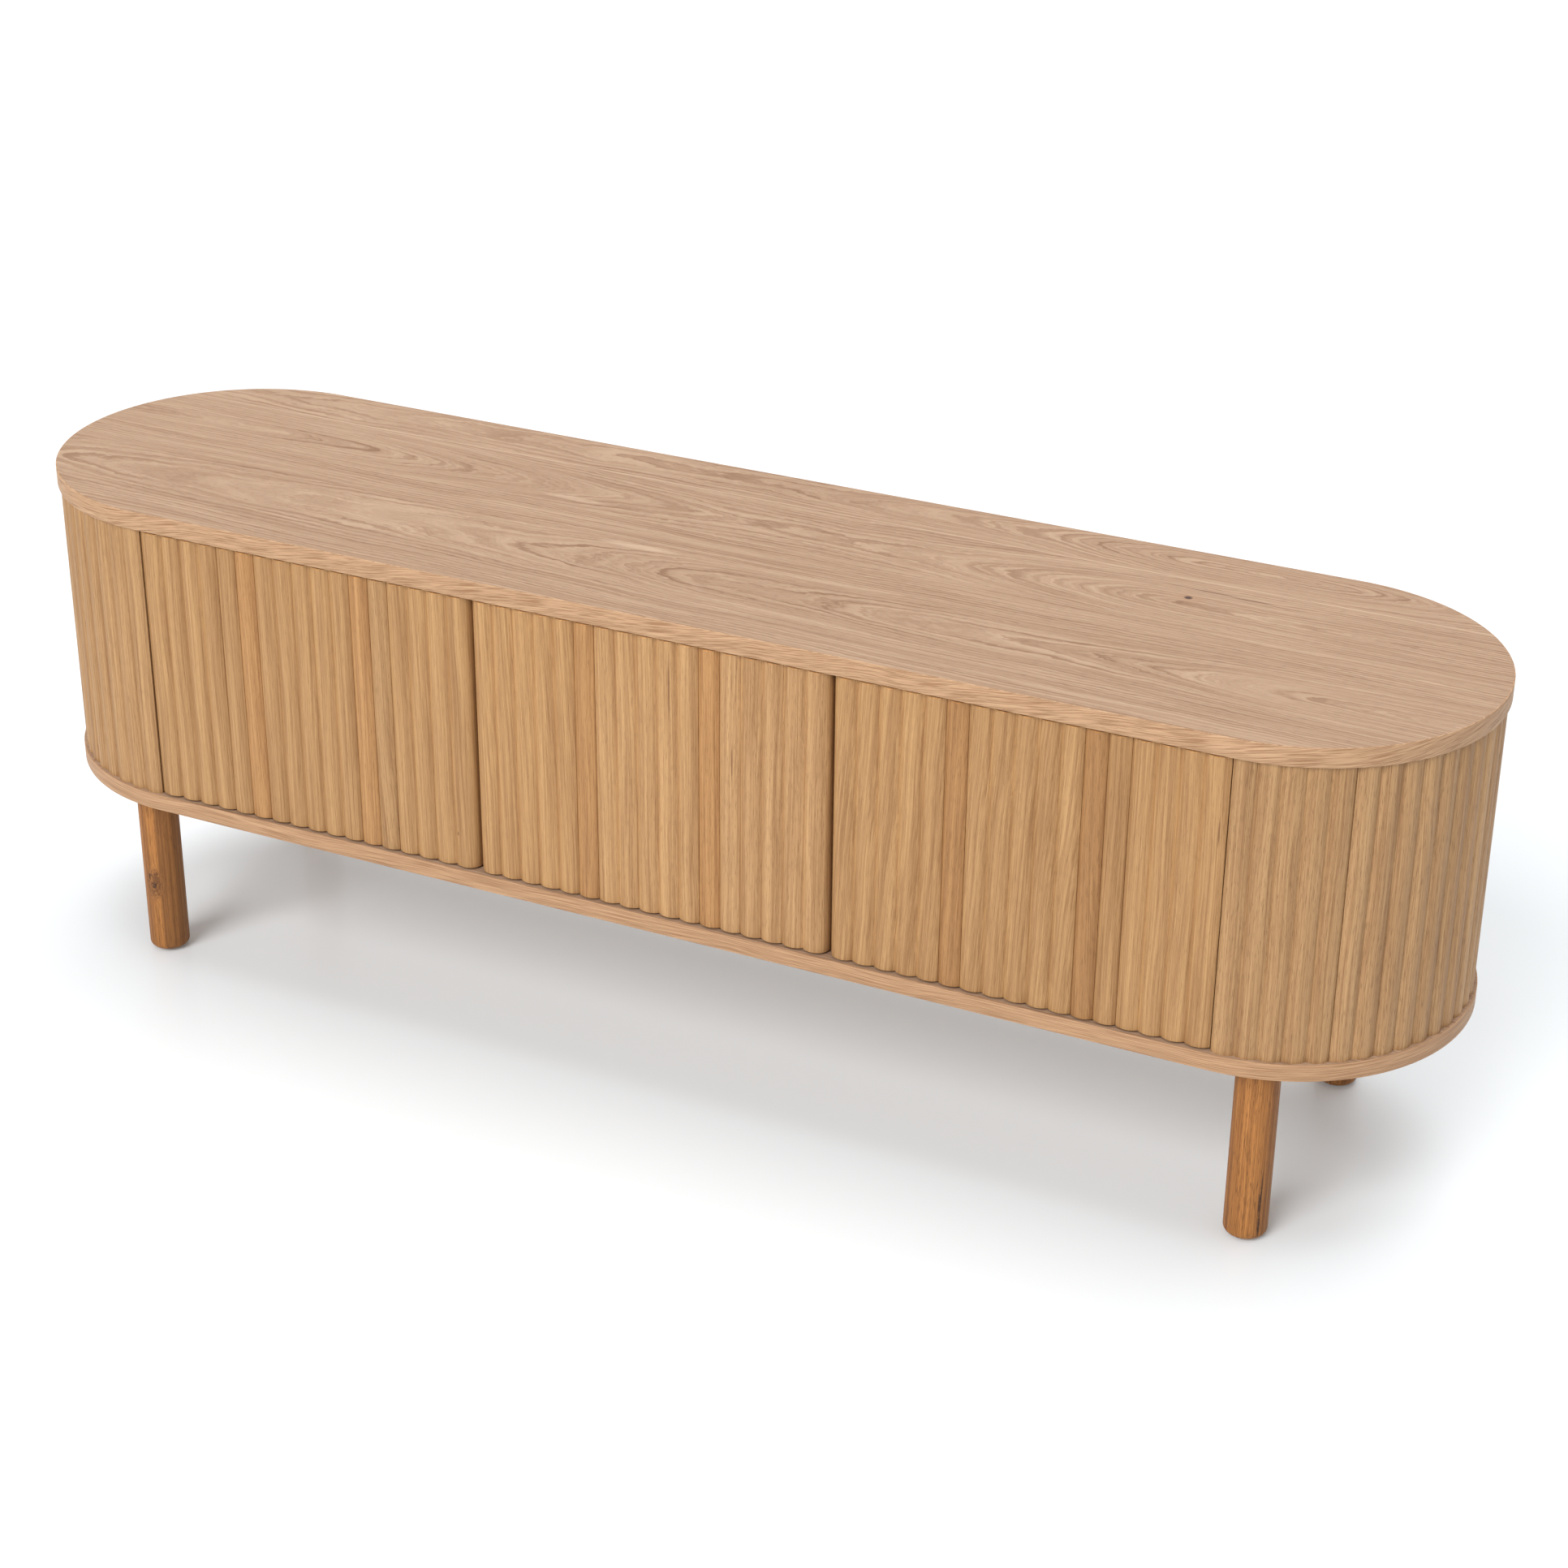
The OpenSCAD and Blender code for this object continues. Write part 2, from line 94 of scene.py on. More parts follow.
def aim_camera():
    azimuth, elevation, roll = (math.radians(a) for a in (25.405, 26.951, 0.481))
    target = Vector((0.0252, 0.0721, 0.25))
    distance = 3.3769
    back = Vector((math.sin(azimuth) * math.cos(elevation),
                   -math.cos(azimuth) * math.cos(elevation),
                   math.sin(elevation)))
    right = Vector((math.cos(azimuth), math.sin(azimuth), 0))
    up = back.cross(right)
    turned = Matrix((right * math.cos(roll) + up * math.sin(roll),
                     up * math.cos(roll) - right * math.sin(roll),
                     back)).transposed().to_4x4()
    data = bpy.data.cameras.new("camera")
    data.sensor_width = 36
    data.lens = 71.81
    data.clip_end = 50
    camera = bpy.data.objects.new("camera", data)
    camera.matrix_world = Matrix.Translation(target + back * distance) @ turned
    bpy.context.scene.collection.objects.link(camera)
    bpy.context.scene.camera = camera


# ---- mesh helpers ----

def mesh_object(name, verts, faces, smooth_angle=30):
    mesh = bpy.data.meshes.new(name)
    mesh.from_pydata(verts, [], faces)
    mesh.validate()
    mesh.shade_smooth()
    mesh.set_sharp_from_angle(angle=math.radians(smooth_angle))
    obj = bpy.data.objects.new(name, mesh)
    bpy.context.scene.collection.objects.link(obj)
    return obj


def strip(count, low, high):
    """Quads between two closed rings of count points that start at vertices low and high."""
    faces = []
    for i in range(count):
        j = (i + 1) % count
        faces.append((low + i, low + j, high + j, high + i))
    return faces


def lofted(name, rings, smooth_angle=30):
    """Skins closed loops of the same length, lowest first, and caps both ends."""
    count = len(rings[0])
    last = count * (len(rings) - 1)
    faces = []
    for start in range(0, last, count):
        faces += strip(count, start, start + count)
    faces.append(tuple(reversed(range(count))))
    faces.append(tuple(range(last, last + count)))
    return mesh_object(name, [p for ring in rings for p in ring], faces, smooth_angle)


def rounded_edges(low, high, radius, steps=3):
    """(inset, height) pairs up the side of a board with both arrises rounded."""
    turns = [math.pi / 2 * k / steps for k in range(steps + 1)]
    lower = [(radius * (1 - math.sin(t)), low + radius * (1 - math.cos(t))) for t in turns]
    upper = [(radius * (1 - math.cos(t)), high - radius * (1 - math.sin(t))) for t in turns]
    return lower + upper


def lozenge(radius, z):
    """Plan outline of a plate, anticlockwise from the middle of the front."""
    points = [(0, -radius, z)]
    for k in range(ROUND_STEPS + 1):
        a = -math.pi / 2 + math.pi * k / ROUND_STEPS
        points.append((HALF_STRAIGHT + radius * math.cos(a), radius * math.sin(a), z))
    points.append((0, radius, z))
    for k in range(ROUND_STEPS + 1):
        a = math.pi / 2 + math.pi * k / ROUND_STEPS
        points.append((-HALF_STRAIGHT + radius * math.cos(a), radius * math.sin(a), z))
    return points


def paint(obj, name, values, kind="FLOAT_VECTOR", domain="POINT"):
    """Stores one value per point or face for the materials to read."""
    layer = obj.data.attributes.new(name, kind, domain)
    key = "color" if kind == "FLOAT_COLOR" else "vector"
    layer.data.foreach_set(key, [c for v in values for c in v])


def run_round(p):
    """Distance along a plate's edge from the middle of the front, positive to the right."""
    side = 1 if p.x >= 0 else -1
    if abs(p.x) <= HALF_STRAIGHT:
        along = abs(p.x) if p.y < 0 else 2 * HALF_STRAIGHT - abs(p.x) + math.pi * PLATE_R
        return side * along
    angle = math.atan2(abs(p.x) - HALF_STRAIGHT, -p.y)
    return side * (HALF_STRAIGHT + angle * PLATE_R)


def show(obj, body, slot, material, *nodes):
    """Puts a finished piece on its body, in place of the CAD nodes it stands for."""
    obj.data.materials.append(material)
    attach(obj, body)
    if nodes:
        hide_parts(*nodes)


# ---- shader helpers ----

class Shader:
    """One node material, with short calls for the nodes that the woods share."""

    def __init__(self, name, roughness=0.5, shine=0.5):
        self.material = bpy.data.materials.new(name)
        self.material.use_nodes = True
        self.tree = self.material.node_tree
        self.surface = self.tree.nodes["Principled BSDF"]
        self.surface.inputs["Roughness"].default_value = roughness
        self.surface.inputs["Specular IOR Level"].default_value = shine

    def put(self, socket, value):
        if isinstance(value, bpy.types.NodeSocket):
            self.tree.links.new(value, socket)
        else:
            socket.default_value = value

    def node(self, kind, inputs=(), **settings):
        made = self.tree.nodes.new("ShaderNode" + kind)
        for key, value in settings.items():
            setattr(made, key, value)
        for key, value in dict(inputs).items():
            self.put(made.inputs[key], value)
        return made

    def place(self):
        return self.node("TexCoord").outputs["Object"]

    def stored(self, name):
        return self.node("Attribute", attribute_name=name).outputs["Vector"]

    def math(self, operation, a, b=0.0):
        return self.node("Math", {0: a, 1: b}, operation=operation).outputs[0]

    def split(self, vector):
        """The three parts of a vector."""
        return self.node("SeparateXYZ", {0: vector}).outputs[0:3]

    def join(self, x, y, z):
        return self.node("CombineXYZ", {0: x, 1: y, 2: z}).outputs[0]

    def scale(self, vector, x, y, z):
        made = self.node("VectorMath", {0: vector, 1: (x, y, z)}, operation="MULTIPLY")
        return made.outputs[0]

    def noise(self, vector, detail=2.0, roughness=0.5, distortion=0.0):
        inputs = {"Vector": vector, "Scale": 1.0, "Detail": detail,
                  "Roughness": roughness, "Distortion": distortion}
        return self.node("TexNoise", inputs).outputs[0]

    def fit(self, value, low, high, to_low=0.0, to_high=1.0):
        """Moves the range low to high to the range to_low to to_high, and stays inside it."""
        inputs = {0: value, 1: low, 2: high, 3: to_low, 4: to_high}
        return self.node("MapRange", inputs).outputs[0]

    def weighted(self, *layers):
        """Sum of layers of (value, low, high, weight): low counts 0 and high its weight."""
        parts = [self.fit(value, low, high, 0.0, weight) for value, low, high, weight in layers]
        total = parts[0]
        for part in parts[1:]:
            total = self.math("ADD", total, part)
        return total

    def mix(self, factor, a, b, blend="MIX"):
        made = self.node("Mix", data_type="RGBA", blend_type=blend)
        self.put(made.inputs[0], factor)
        self.put(made.inputs[6], a)
        self.put(made.inputs[7], b)
        return made.outputs[2]

    def brighter(self, tone, wood):
        return self.node("HueSaturation", {"Value": tone, "Color": wood}).outputs[0]

    def curve(self, value, points):
        """A smooth curve through given points; both axes run from 0 to 1."""
        made = self.node("FloatCurve", {"Value": value})
        line = made.mapping.curves[0]
        line.points[0].location = points[0]
        line.points[1].location = points[-1]
        for point in points[1:-1]:
            line.points.new(*point)
        made.mapping.update()
        return made.outputs[0]

    def bump(self, height, distance):
        inputs = {"Height": height, "Distance": distance, "Strength": 1.0}
        self.put(self.surface.inputs["Normal"], self.node("Bump", inputs).outputs[0])

    def roughness(self, value):
        self.put(self.surface.inputs["Roughness"], value)

    def colour(self, value):
        self.put(self.surface.inputs["Base Color"], value)


def wood_shader(name):
    return Shader(name, roughness=0.55, shine=0.3)


def rgb(*levels):
    """A colour given as it looks on a screen, 0 to 255, as linear light."""
    def linear(level):
        c = level / 255
        return c / 12.92 if c <= 0.04045 else ((c + 0.055) / 1.055) ** 2.4
    return tuple(linear(c) for c in levels) + (1.0,)


def shade_of(colour, part):
    return tuple(c * part for c in colour[:3]) + (1.0,)


def fleck(s, x, y, at):
    """1 inside a small mark at (x, y, half width, half height), 0 well outside it."""
    dx = s.math("DIVIDE", s.math("SUBTRACT", x, at[0]), at[2])
    dy = s.math("DIVIDE", s.math("SUBTRACT", y, at[1]), at[3])
    far = s.math("ADD", s.math("MULTIPLY", dx, dx), s.math("MULTIPLY", dy, dy))
    return s.fit(far, 1.0, 0.2)


# ---- straight-grained wood; grain runs across, through and along the board ----

def fibre_layer(s, grain):
    return s.noise(s.scale(grain, 1100, 1100, 11), detail=3, roughness=0.65)


def pore_layer(s, grain):
    return s.fit(s.noise(s.scale(grain, 1900, 1900, 80), detail=1), 0.60, 0.70)


def grain_height(s, fibres, pores):
    return s.math("SUBTRACT", s.math("MULTIPLY", fibres, 0.4), pores)


def oak(s, grain, light, dark, pore, bands=0.30, rings=0.42, fibres=0.50, pores=0.40):
    """Colour and bump of straight-grained oak; the weights say how strong each layer is."""
    band_noise = s.noise(s.scale(grain, 90, 90, 0.9), detail=2, distortion=0.2)
    ring_noise = s.noise(s.scale(grain, 420, 420, 4), detail=3, roughness=0.55)
    fibre_noise = fibre_layer(s, grain)
    pore_dots = pore_layer(s, grain)
    total = bands + rings + fibres
    level = s.weighted((band_noise, 0.3, 0.7, bands / total),
                       (ring_noise, 0.32, 0.68, rings / total),
                       (fibre_noise, 0.3, 0.7, fibres / total))
    wood = s.mix(s.fit(level, 0.25, 0.75), dark, light)
    wood = s.mix(s.math("MULTIPLY", pore_dots, pores), wood, pore)
    return wood, grain_height(s, fibre_noise, pore_dots)


# dark flecks in the doors: (x, z, half width, half height)
STAVE_FLECKS = ((0.027, 0.477, 0.0011, 0.040), (0.096, 0.412, 0.0010, 0.022),
                (-0.222, 0.258, 0.0016, 0.003), (0.592, 0.450, 0.0010, 0.018))


def stave_material():
    """Reeded boards glued up from staves. Each face carries its stave's tone, warmth,
    slant of the grain and seed; on the door bevels the tone also holds a painted highlight."""
    s = wood_shader("oak_staves")
    stave = s.node("Attribute", attribute_name="stave")
    tone, warmth, slant = s.split(stave.outputs["Vector"])
    seed = stave.outputs["Alpha"]
    across, through, along = s.split(s.stored("grain"))
    sway = s.noise(s.scale(s.join(across, seed, along), 14, 1, 4), detail=1)
    leaning = s.math("ADD", across, s.math("MULTIPLY", slant, along))
    leaning = s.math("ADD", leaning, s.math("MULTIPLY", sway, 0.012))
    grain = s.join(s.math("ADD", leaning, seed), through, s.math("ADD", along, seed))
    open_pores = s.math("ADD", s.fit(warmth, 0, 1, 0.14, 0.40), s.fit(warmth, 0, -1, 0, 0.40))
    wood, height = oak(s, grain, rgb(189, 147, 99), rgb(151, 110, 69), rgb(112, 74, 42),
                       bands=0.34, fibres=0.60, pores=open_pores)
    wood = s.mix(s.fit(warmth, 0, 1), wood, (1.0, 0.88, 0.76, 1.0), "MULTIPLY")
    wood = s.mix(s.fit(warmth, 0, -1), wood, (0.90, 0.93, 1.02, 1.0), "MULTIPLY")
    for at in STAVE_FLECKS:
        mark = s.math("MULTIPLY", fleck(s, across, along, at), 0.6)
        wood = s.mix(mark, wood, rgb(92, 56, 34))
    s.colour(s.brighter(tone, wood))
    s.bump(height, 0.12 * MM)
    return s.material


def board_material(name, turn, light, dark):
    """Plain wood for the inside boards. turn puts across, through and along in order."""
    s = wood_shader(name)
    axes = s.split(s.place())
    grain = s.join(*(axes[i] for i in turn))
    wood, height = oak(s, grain, light, dark, rgb(150, 112, 78), pores=0.3)
    s.colour(wood)
    s.bump(height, 0.10 * MM)
    return s.material


# marks on the legs: (angle from the front in radians, z, half angle, half height)
KNOT_SWIRL = (0.06, 0.088, 0.55, 0.024)
KNOT_MARKS = ((0.09, 0.086, 0.16, 0.0050), (-0.16, 0.097, 0.05, 0.0050))
CRACK_MARKS = ((0.88, 0.020, 0.090, 0.016), (0.85, 0.045, 0.105, 0.016),
               (0.89, 0.064, 0.050, 0.020))


def leg_material():
    """Solid oak legs, browner than the boards. Each face carries its leg's tone, whether
    it shows a glue line and a knot, whether it shows a crack, and its seed."""
    s = wood_shader("oak_leg")
    traits = s.node("Attribute", attribute_name="stave")
    tone, knotted, cracked = s.split(traits.outputs["Vector"])
    seed = traits.outputs["Alpha"]
    x, y, z = s.split(s.stored("grain"))
    past_glue = s.math("GREATER_THAN", s.math("ADD", x, s.math("MULTIPLY", y, 0.25)), 4 * MM)
    half = s.math("MULTIPLY", past_glue, knotted)
    shift = s.math("ADD", seed, half)
    turn = s.math("ARCTAN2", x, s.math("MULTIPLY", y, -1.0))
    swirl = s.math("MULTIPLY", fleck(s, turn, z, KNOT_SWIRL), knotted)
    across = s.math("ADD", s.math("ADD", x, shift), s.math("MULTIPLY", swirl, 6 * MM))
    grain = s.join(across, y, s.math("ADD", z, shift))
    wood, height = oak(s, grain, rgb(178, 119, 62), rgb(122, 75, 34), rgb(76, 44, 20), pores=0.6)
    wood = s.mix(s.math("MULTIPLY", half, 0.35), wood, rgb(130, 88, 50))
    rough = s.noise(s.scale(s.join(turn, seed, z), 9, 1, 400), detail=2, roughness=0.6)
    dark_swirl = s.math("MULTIPLY", swirl, s.fit(rough, 0.35, 0.65, 0.25, 0.95))
    wood = s.mix(dark_swirl, wood, rgb(88, 54, 32))
    ragged = s.fit(rough, 0.35, 0.6, 0.45, 0.95)
    marks = [(at, knotted) for at in KNOT_MARKS] + [(at, cracked) for at in CRACK_MARKS]
    for at, shown in marks:
        mark = s.math("MULTIPLY", fleck(s, turn, z, at), shown)
        wood = s.mix(s.math("MULTIPLY", mark, ragged), wood, rgb(50, 31, 20))
    s.colour(s.brighter(tone, wood))
    s.bump(height, 0.16 * MM)
    return s.material


# ---- veneer ----

# four leaves side by side: the joints between them and the middle of each one's figure, as y
LEAF_JOINTS = (-0.038, 0.019, 0.127)
LEAF_CENTRES = (-0.088, -0.22, 0.066, 0.172)
LEAF_SHIFT = 3.7  # gives each leaf its own noise

# how far below each leaf the heart of the log lies:
# (share of the length from the left, share of HEART_DEPTH)
HEART_DEPTH = 0.1
HEART_CURVES = (
    ((0, 0.92), (0.20, 0.78), (0.35, 0.72), (0.45, 0.62), (0.52, 0.50), (0.58, 0.47),
     (0.66, 0.38), (0.74, 0.36), (0.80, 0.31), (0.86, 0.18), (0.92, 0.08), (1, 0.0)),
    ((0, 0.5), (1, 0.5)),
    ((0, 0.10), (0.16, 0.16), (0.30, 0.34), (0.44, 0.50), (0.52, 0.56), (0.60, 0.53),
     (0.66, 0.42), (0.72, 0.28), (0.78, 0.12), (0.84, 0.07), (0.92, 0.04), (1, 0.0)),
    ((0, 0.62), (0.20, 0.56), (0.50, 0.50), (0.66, 0.40), (0.73, 0.22), (0.82, 0.05),
     (0.91, 0.20), (1, 0.42)),
)

# how far the rings wander: ((scale of the noise along x, y and z), metres)
RING_WANDER = (((4, 16, 1), 0.014), ((20, 70, 1), 0.0038), ((80, 300, 1), 0.0022))
RINGS_PER_METRE = 230

# a pin knot in the top with a dark check behind it, and two pale patches:
# ((x, y, half length, half width), strength, colour)
PALE_PATCH, DARK_CHECK = rgb(222, 194, 168), rgb(104, 70, 48)
VENEER_MARKS = (
    ((0.460, 0.082, 0.020, 0.012), 0.35, rgb(165, 125, 95)),
    ((0.460, 0.082, 0.0052, 0.0044), 1.0, rgb(74, 54, 48)),
    ((0.440, 0.1062, 0.022, 0.0011), 0.60, rgb(112, 76, 52)),
    ((0.478, 0.1050, 0.030, 0.0015), 0.85, DARK_CHECK),
    ((0.520, 0.1022, 0.028, 0.0015), 0.80, DARK_CHECK),
    ((0.556, 0.0985, 0.024, 0.0011), 0.55, rgb(112, 76, 52)),
    ((-0.205, 0.040, 0.044, 0.0062), 0.28, PALE_PATCH),
    ((-0.085, -0.046, 0.052, 0.0072), 0.28, PALE_PATCH),
)


def veneer_figure(s, x, y, z):
    """Distance from the heart of the log, which makes the pointed arches of crown-cut oak.
    Also returns the number of the leaf."""
    run = s.fit(x, -HALF_STRAIGHT - PLATE_R, HALF_STRAIGHT + PLATE_R)
    centre, depth, leaf = LEAF_CENTRES[0], s.curve(run, HEART_CURVES[0]), 0.0
    for joint, next_centre, points in zip(LEAF_JOINTS, LEAF_CENTRES[1:], HEART_CURVES[1:]):
        past = s.math("GREATER_THAN", y, joint)
        centre = s.fit(past, 0, 1, centre, next_centre)
        depth = s.fit(past, 0, 1, depth, s.curve(run, points))
        leaf = s.math("ADD", leaf, past)
    depth = s.math("MULTIPLY", depth, HEART_DEPTH)
    off = s.math("SUBTRACT", y, centre)
    squares = s.math("ADD", s.math("MULTIPLY", off, off), s.math("MULTIPLY", depth, depth))
    radius = s.math("SQRT", squares)
    shifted = s.join(s.math("ADD", x, s.math("MULTIPLY", leaf, LEAF_SHIFT)), y, z)
    for size, amount in RING_WANDER:
        wander = s.math("SUBTRACT", s.noise(s.scale(shifted, *size), detail=1), 0.5)
        radius = s.math("ADD", radius, s.math("MULTIPLY", wander, amount))
    return radius, leaf


def veneer_material():
    """Crown-cut oak veneer on both plates. The base has the figure of the top with left and
    right exchanged, without the top's marks."""
    s = wood_shader("oak_veneer")
    x, y, z = s.split(s.place())
    on_top = s.math("GREATER_THAN", z, MID_HEIGHT)
    x = s.math("MULTIPLY", x, s.fit(on_top, 0, 1, -1, 1))
    radius, leaf = veneer_figure(s, x, y, z)
    ring = s.math("FRACT", s.math("MULTIPLY", radius, RINGS_PER_METRE))
    late = s.math("MULTIPLY", s.fit(ring, 0.50, 0.93), s.fit(ring, 1.0, 0.95))
    figure = s.join(s.math("ADD", radius, leaf), z, x)
    broad = s.noise(s.scale(figure, 60, 1, 2.2), detail=2)
    lines = s.noise(s.scale(figure, 640, 1, 5.0), detail=3, roughness=0.7)
    late = s.math("MULTIPLY", late, s.fit(broad, 0.35, 0.6, 0.35, 1.0))
    grain = s.join(s.math("ADD", y, leaf), z, x)
    fibres, pores = fibre_layer(s, grain), pore_layer(s, grain)
    level = s.weighted((late, 0.0, 1.0, 0.32), (broad, 0.3, 0.7, 0.08),
                       (lines, 0.36, 0.64, 0.44), (fibres, 0.3, 0.7, 0.16))
    wood = s.mix(s.fit(level, 0.12, 0.78), rgb(180, 151, 126), rgb(137, 105, 80))
    dashes = s.math("MULTIPLY", pores, s.fit(level, 0.2, 0.7, 0.15, 0.6))
    wood = s.mix(dashes, wood, rgb(132, 96, 70))
    # a pale line shows along the rear joint
    from_joint = s.math("ABSOLUTE", s.math("SUBTRACT", y, LEAF_JOINTS[2]))
    wood = s.mix(s.fit(from_joint, 1.2 * MM, 0.3 * MM, 0.0, 0.5), wood, rgb(212, 184, 158))
    for at, strength, colour in VENEER_MARKS:
        mark = s.math("MULTIPLY", fleck(s, x, y, at), strength)
        wood = s.mix(s.math("MULTIPLY", mark, on_top), wood, colour)
    s.colour(wood)
    s.bump(grain_height(s, fibres, pores), 0.10 * MM)
    return s.material


def band_material(name, light, dark, pore, slope, length):
    """Edge band: strokes of grain of a given length that run along the edge and climb at
    a slope."""
    s = wood_shader(name)
    run, through, height = s.split(s.stored("grain"))
    wave = s.noise(s.scale(s.join(run, through, height), 6, 1, 1), detail=1)
    lean = s.math("MULTIPLY", s.math("SUBTRACT", wave, 0.5), 0.02)
    climb = s.math("SUBTRACT", s.math("ADD", height, lean), s.math("MULTIPLY", run, slope))
    grain = s.join(climb, through, run)
    broad = s.noise(s.scale(grain, 230, 230, 3), detail=2)
    strokes = s.noise(s.scale(grain, 1300, 1300, 1 / length), detail=2)
    fine = s.noise(s.scale(grain, 2300, 2300, 45), detail=2, roughness=0.6)
    level = s.weighted((strokes, 0.3, 0.7, 0.35), (broad, 0.3, 0.7, 0.30),
                       (fine, 0.3, 0.7, 0.35))
    wood = s.mix(s.fit(level, 0.2, 0.8), dark, light)
    marks = s.fit(strokes, 0.48, 0.41)
    s.colour(s.mix(s.math("MULTIPLY", marks, 0.6), wood, pore))
    s.bump(s.math("SUBTRACT", s.math("MULTIPLY", fine, 0.5), marks), 0.12 * MM)
    return s.material


# ---- other materials ----

def metal_material(name, colour, roughness):
    s = Shader(name, roughness)
    s.surface.inputs["Metallic"].default_value = 1.0
    marks = s.noise(s.scale(s.place(), 900, 900, 5000), detail=3, roughness=0.7)
    worn = s.noise(s.scale(s.place(), 160, 160, 160), detail=2)
    s.colour(s.mix(s.fit(worn, 0.35, 0.7), colour, shade_of(colour, 0.78)))
    s.roughness(s.fit(marks, 0.2, 0.8, roughness - 0.1, roughness + 0.12))
    s.bump(marks, 0.03 * MM)
    return s.material


def plastic_material(name, colour, roughness):
    s = Shader(name, roughness)
    grit = s.noise(s.scale(s.place(), 2600, 2600, 2600), detail=2)
    cloud = s.noise(s.scale(s.place(), 120, 120, 120), detail=2)
    s.colour(s.mix(s.fit(cloud, 0.35, 0.7), colour, shade_of(colour, 0.88)))
    s.roughness(s.fit(cloud, 0.3, 0.7, roughness - 0.06, roughness + 0.1))
    s.bump(grit, 0.04 * MM)
    return s.material


def felt_material(name, colour):
    s = Shader(name, 0.95)
    hair = s.noise(s.scale(s.place(), 1500, 1500, 1500), detail=4, roughness=0.8, distortion=1.5)
    s.colour(s.mix(s.fit(hair, 0.35, 0.65), shade_of(colour, 0.5), colour))
    s.bump(hair, 0.4 * MM)
    return s.material


# ---- plates ----

def edge_band(name, low, high, core_r):
    """Ring round a plate, with rounded arrises outside and a plain inner face."""
    rings = [lozenge(core_r, low)]
    rings += [lozenge(PLATE_R - inset, z) for inset, z in rounded_edges(low, high, BAND_SOFT)]
    rings += [lozenge(core_r, high)]
    count = len(rings[0])
    faces = []
    for k in range(len(rings)):
        faces += strip(count, k * count, (k + 1) % len(rings) * count)
    ring = mesh_object(name, [p for points in rings for p in points], faces, 50)
    paint(ring, "grain", [(run_round(v.co),
                           math.hypot(max(0, abs(v.co.x) - HALF_STRAIGHT), v.co.y), v.co.z)
                          for v in ring.data.vertices])
    return ring


def plate(name, node, core, veneer, band):
    """A veneered board and the band round its edge."""
    low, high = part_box(node)
    core_r = PLATE_R - BAND_THICK
    board = lofted(name + "_board", [lozenge(core_r, low.z), lozenge(core_r, high.z)])
    show(board, "carcass", "veneer", veneer, core)
    show(edge_band(name + "_edge_band", low.z, high.z, core_r), "carcass", "lipping", band, node)


# ---- reeded boards; groups holds (reeds, tone, warmth, slant) for each stave ----

def joints_of(groups):
    """The numbers of the reeds after which a stave ends."""
    ends, total = set(), 0
    for group in groups[:-1]:
        total += group[0]
        ends.add(total)
    return ends


def stave_table(groups, seed):
    """One (tone, warmth, slant, seed) for each reed."""
    rows = []
    for k, (count, tone, warmth, slant) in enumerate(groups):
        rows += [(tone, warmth, slant, seed + 1.37 * k)] * count
    return rows


def reed_section(half, deep, steps=12):
    """Arc across one reed, left to right, as (offset, distance behind the crest)."""
    radius = (half ** 2 + deep ** 2) / (2 * deep)
    reach = math.asin(half / radius)
    turns = [reach * (2 * k / steps - 1) for k in range(steps + 1)]
    return [(radius * math.sin(t), radius * (1 - math.cos(t))) for t in turns]


def door_outline(width, thick, inset, z, joints, side_deep):
    """Plan of a reeded leaf with its middle at x = 0, anticlockwise from the left side.
    joints are the reeds after which one stave is glued to the next, and side_deep says how
    far the left and the right edge round back."""
    first = -DOOR_STEP * (DOOR_REEDS - 1) / 2
    front = -CREST_R + inset
    plain = reed_section(DOOR_STEP / 2, DOOR_REED_DEEP)
    outer = [reed_section(width / 2 + first - inset, deep) for deep in side_deep]
    crest = len(plain) // 2
    points = []
    for i in range(DOOR_REEDS):
        left = (outer[0] if i == 0 else plain)[:crest]
        right = (outer[1] if i == DOOR_REEDS - 1 else plain)[crest:]
        section = [(first + i * DOOR_STEP + dx, front + dy, z) for dx, dy in left + right]
        if i < DOOR_REEDS - 1:
            x, y, z = section.pop()
            if i + 1 in joints:
                section.append((x - JOINT_WIDE / 2, y, z))
                section.append((x, y + JOINT_DEEP, z))
        if i in joints:
            section[0] = (section[0][0] + JOINT_WIDE / 2, section[0][1], z)
        points += section
    back = -CREST_R + thick - inset
    points.append((width / 2 - inset, back, z))
    points.append((-width / 2 + inset, back, z))
    return points


def bevel_top(leaf, top):
    """Planes the top front arris off a door, which leaves a small lens on each reed."""
    shape = bmesh.new()
    shape.from_mesh(leaf.data)
    bmesh.ops.bisect_plane(shape, geom=shape.verts[:] + shape.edges[:] + shape.faces[:],
                           dist=1e-6, clear_outer=True,
                           plane_co=(0, -CREST_R, top - BEVEL_HIGH),
                           plane_no=(0, -BEVEL_HIGH, BEVEL_DEEP))
    rim = [e for e in shape.edges if e.is_boundary]
    bmesh.ops.holes_fill(shape, edges=rim, sides=0)
    shape.to_mesh(leaf.data)
    shape.free()
    leaf.data.set_sharp_from_angle(angle=math.radians(25))


